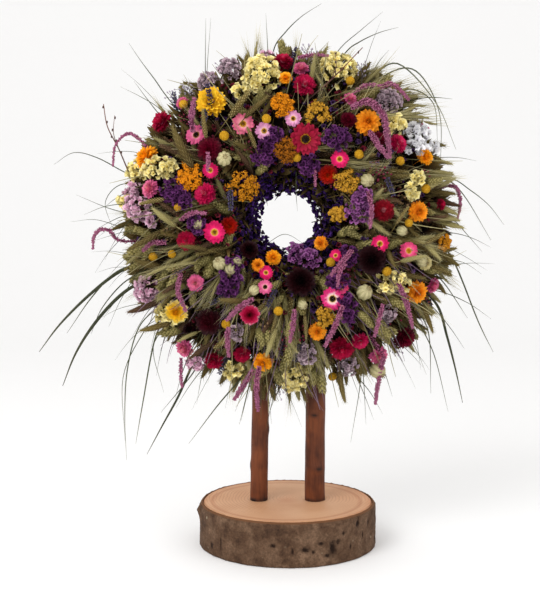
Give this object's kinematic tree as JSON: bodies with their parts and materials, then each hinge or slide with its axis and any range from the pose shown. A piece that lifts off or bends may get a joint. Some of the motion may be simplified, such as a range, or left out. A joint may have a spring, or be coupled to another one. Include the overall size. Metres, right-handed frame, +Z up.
{
  "type": "dried flower wreath on stand",
  "caption": "Round wreath of dried everlasting flowers, grasses and statice on a straw ring, held upright on two peeled sticks over a slice of log; the wreath lifts off two pins.",
  "frame": {"origin": "centre of the log slice's underside, on the surface it stands on", "axes": "+Z up, the front of the wreath faces -Y, +X to the viewer's right"},
  "size_m": [0.6416, 0.25, 0.7503],
  "materials": {
    "end_grain": "sanded and oiled end grain with faint rings",
    "bark": "dry furrowed bark",
    "peeled_stick": "peeled and oiled branch",
    "steel": "zinc plated",
    "straw": "pressed and bound straw",
    "twine": "two-ply florist's twine",
    "foliage": "dense dried grass, statice and stems",
    "blade": "dried grass blade",
    "amaranth": "dried amaranth, fuzzy",
    "yellow": "papery petals, satin",
    "orange": "papery petals, satin",
    "gold": "dense tiny dried florets",
    "crimson": "papery petals, satin",
    "burgundy": "papery petals, satin",
    "magenta": "papery petals, satin",
    "pink": "papery petals, satin",
    "olive": "dry seed pod, matt"
  },
  "bodies": {
    "stand": {"wood_slice": "end_grain", "bark_ring": "bark", "post_left": "peeled_stick", "post_right": "peeled_stick", "base_screw_left": "steel", "base_screw_right": "steel", "wreath_pin_left": "steel", "wreath_pin_right": "steel"},
    "wreath": {"amaranth_tail_bottom": "amaranth", "amaranth_tail_left": "amaranth", "amaranth_tail_right": "amaranth", "binding_twine": "twine", "bunch_01": "foliage", "bunch_02": "foliage", "bunch_03": "foliage", "bunch_04": "foliage", "bunch_05": "foliage", "bunch_06": "foliage", "bunch_07": "foliage", "bunch_08": "foliage", "bunch_09": "foliage", "bunch_10": "foliage", "bunch_11": "foliage", "bunch_12": "foliage", "grass_blade_bottom_left": "blade", "grass_blade_bottom_left_thin": "blade", "grass_blade_bottom_right": "blade", "grass_blade_left_long": "blade", "grass_blade_left_low": "blade", "grass_blade_left_upper": "blade", "grass_blade_right_arc": "blade", "grass_blade_top": "blade", "grass_blade_top_left": "blade", "grass_blade_top_right": "blade", "paper_daisy_pink_right": "pink", "paper_daisy_pink_top_left": "pink", "paper_daisy_red_top": "crimson", "paper_daisy_white_lower_right": "pink", "seed_pod_lower_left": "olive", "straw_ring": "straw", "strawflower_burgundy_inner": "burgundy", "strawflower_burgundy_right": "burgundy", "strawflower_crimson_bottom": "crimson", "strawflower_crimson_left": "crimson", "strawflower_crimson_ruffled": "crimson", "strawflower_crimson_top": "crimson", "strawflower_crimson_upper_left": "crimson", "strawflower_magenta_bottom_left": "magenta", "strawflower_orange_bottom": "orange", "strawflower_orange_left": "orange", "strawflower_orange_lower_right": "orange", "strawflower_orange_right": "orange", "strawflower_orange_top_right": "orange", "strawflower_white_heart": "crimson", "strawflower_yellow_lower_left": "yellow", "strawflower_yellow_upper_left": "yellow", "yarrow_gold_upper_left": "gold", "yarrow_mustard_top": "gold", "yarrow_orange_left": "gold"}
  },
  "joints": [
    {"name": "wreath_lift", "type": "slide", "parent": "stand", "child": "wreath", "axis": [0, 0, 1], "range_m": [0, 0.16]}
  ]
}
